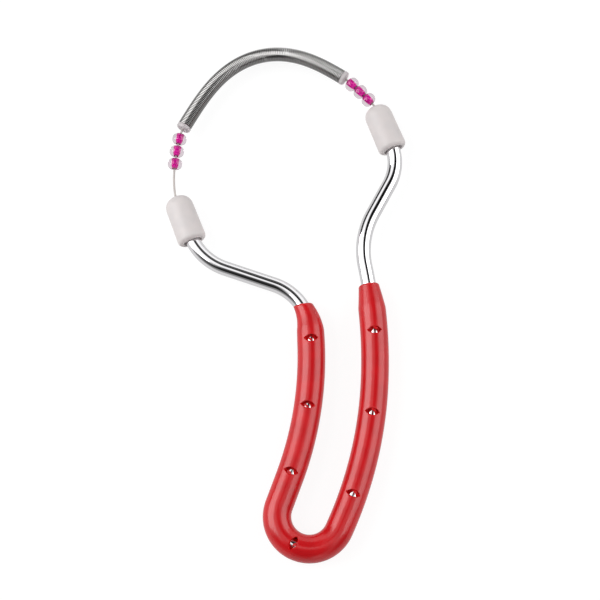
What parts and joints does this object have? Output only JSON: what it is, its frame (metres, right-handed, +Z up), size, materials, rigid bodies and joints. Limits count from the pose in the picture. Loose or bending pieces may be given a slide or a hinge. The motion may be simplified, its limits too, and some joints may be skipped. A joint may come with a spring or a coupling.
{
  "type": "facial hair removal spring",
  "caption": "Hand-held hair removal tool: a bowed close-wound spring strung with beads between the capped ends of a bent rod, with a moulded grip over its U-shaped handle.",
  "frame": {"origin": "on the surface the tool lies on, under the middle of its outline", "axes": "+Y from the U bend of the handle to the spring, +X to the right seen from above, +Z up"},
  "size_m": [0.082, 0.1802, 0.0099],
  "materials": {
    "plated_rod": "polished plating",
    "red_grip": "glossy",
    "white_cap": "satin",
    "nylon_line": "smooth",
    "spring_wire": "drawn wire",
    "clear_plug": "smooth",
    "lined_glass": "fire polished, coloured lining"
  },
  "bodies": {
    "tool": {"frame_rod": "plated_rod", "handle_grip": "red_grip", "left_cap": "white_cap", "right_cap": "white_cap", "cord": "nylon_line", "coil_spring": "spring_wire", "left_plug": "clear_plug", "right_plug": "clear_plug"},
    "left_bead_1": {"left_bead_1": "lined_glass"},
    "left_bead_2": {"left_bead_2": "lined_glass"},
    "left_bead_3": {"left_bead_3": "lined_glass"},
    "right_bead_1": {"right_bead_1": "lined_glass"},
    "right_bead_2": {"right_bead_2": "lined_glass"},
    "right_bead_3": {"right_bead_3": "lined_glass"}
  },
  "joints": [
    {"name": "left_bead_1_spin", "type": "hinge", "parent": "tool", "child": "left_bead_1", "pos_m": [-0.03831, 0.04668, 0.00493], "axis": [0.0916, 0.9958, 0], "continuous": true},
    {"name": "left_bead_2_spin", "type": "hinge", "parent": "tool", "child": "left_bead_2", "pos_m": [-0.03776, 0.05124, 0.00493], "axis": [0.148, 0.989, 0], "continuous": true},
    {"name": "left_bead_3_spin", "type": "hinge", "parent": "tool", "child": "left_bead_3", "pos_m": [-0.03695, 0.05577, 0.00493], "axis": [0.2039, 0.979, 0], "continuous": true},
    {"name": "right_bead_1_spin", "type": "hinge", "parent": "tool", "child": "right_bead_1", "pos_m": [0.02284, 0.07619, 0.00493], "axis": [0.7277, -0.6859, 0], "continuous": true},
    {"name": "right_bead_2_spin", "type": "hinge", "parent": "tool", "child": "right_bead_2", "pos_m": [0.02573, 0.07337, 0.00493], "axis": [0.7011, -0.7131, 0], "continuous": true},
    {"name": "right_bead_3_spin", "type": "hinge", "parent": "tool", "child": "right_bead_3", "pos_m": [0.0285, 0.07043, 0.00493], "axis": [0.6734, -0.7393, 0], "continuous": true}
  ]
}
